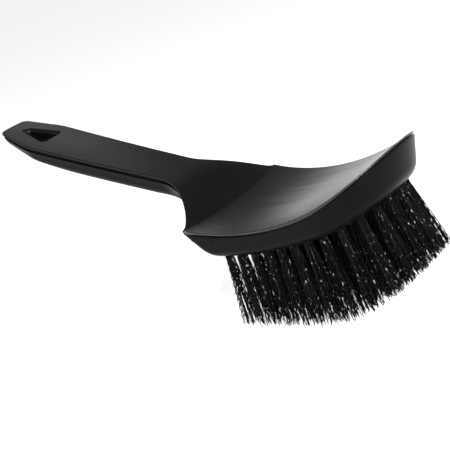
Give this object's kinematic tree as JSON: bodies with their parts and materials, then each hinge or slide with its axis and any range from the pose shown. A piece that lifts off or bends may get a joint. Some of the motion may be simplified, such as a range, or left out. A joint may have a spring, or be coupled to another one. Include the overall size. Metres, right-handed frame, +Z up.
{
  "type": "wheel brush",
  "caption": "Short-handled cleaning brush with a wide scooped head of stiff bristle tufts and a tapered handle with a hanging hole.",
  "frame": {"origin": "flat tip of the middle tuft of the fifth row, on the plane that the bristle tips stand on", "axes": "+X toward the nose of the head, -X along the handle, +Z up out of the head's back, brush standing on its bristle tips; Y is across, and the brush is mirrored about Y = 0"},
  "size_m": [0.2627, 0.0868, 0.1138],
  "materials": {
    "top_moulding": "satin black polypropylene, glossier in the scoop",
    "body_moulding": "satin black polypropylene",
    "bristle": "glossy black crimped filament",
    "anchor_wire": "drawn flat wire"
  },
  "bodies": {
    "root": {"upper_shell": "top_moulding", "lower_body": "body_moulding", "tuft_row_1": "bristle", "tuft_row_2": "bristle", "tuft_row_3": "bristle", "tuft_row_4": "bristle", "tuft_row_5": "bristle", "tuft_row_6": "bristle", "tuft_row_7": "bristle", "tuft_row_8": "bristle", "tuft_row_9": "bristle", "tuft_row_10": "bristle", "anchor_row_1": "anchor_wire", "anchor_row_2": "anchor_wire", "anchor_row_3": "anchor_wire", "anchor_row_4": "anchor_wire", "anchor_row_5": "anchor_wire", "anchor_row_6": "anchor_wire", "anchor_row_7": "anchor_wire", "anchor_row_8": "anchor_wire", "anchor_row_9": "anchor_wire", "anchor_row_10": "anchor_wire"}
  },
  "joints": []
}
